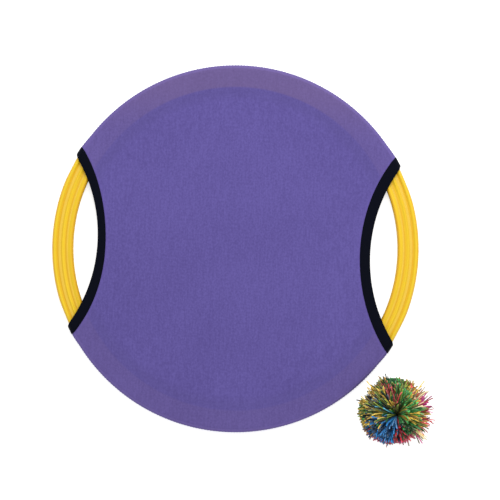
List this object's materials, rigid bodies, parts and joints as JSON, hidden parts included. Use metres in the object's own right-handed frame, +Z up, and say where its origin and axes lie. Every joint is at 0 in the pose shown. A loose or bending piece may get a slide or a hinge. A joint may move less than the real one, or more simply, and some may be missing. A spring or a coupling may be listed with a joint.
{
  "type": "trampoline paddle ball set",
  "caption": "Round toy paddle: a ridged plastic hoop in a stretch-cloth sleeve with two taped mouths that bare the hoop as grips, and a rubber strand ball beside it.",
  "frame": {"origin": "on the floor plane under the paddle's centre, where the back panel's cloth lies flat on it", "axes": "+Z up through the paddle's face, +X from the centre through the middle of the right-hand grip, +Y towards the top edge as the picture shows it"},
  "size_m": [0.3139, 0.3052, 0.0517],
  "materials": {
    "hoop_plastic": "satin moulded yellow with concentric ridges",
    "sleeve_cloth": "fine purple stretch knit, matt",
    "seam_thread": "purple overlocked seam",
    "binding_tape": "black elastic tape, folded and stitched",
    "tie_metal": "crimped",
    "gold_rubber": "satin",
    "green_rubber": "satin",
    "dark_green_rubber": "satin",
    "olive_rubber": "satin",
    "navy_rubber": "satin",
    "blue_rubber": "satin",
    "red_rubber": "satin",
    "pink_rubber": "satin"
  },
  "bodies": {
    "root": {"hoop": "hoop_plastic", "front_panel": "sleeve_cloth", "back_panel": "sleeve_cloth", "upper_seam": "seam_thread", "lower_seam": "seam_thread", "left_binding": "binding_tape", "right_binding": "binding_tape", "tie_ring": "tie_metal", "gold_hank_1": "gold_rubber", "gold_hank_2": "gold_rubber", "gold_hank_3": "gold_rubber", "green_hank_1": "green_rubber", "green_hank_2": "green_rubber", "dark_green_hank_1": "dark_green_rubber", "dark_green_hank_2": "dark_green_rubber", "olive_hank_1": "olive_rubber", "navy_hank_1": "navy_rubber", "blue_hank_1": "blue_rubber", "red_hank_1": "red_rubber", "pink_hank_1": "pink_rubber"}
  },
  "joints": []
}
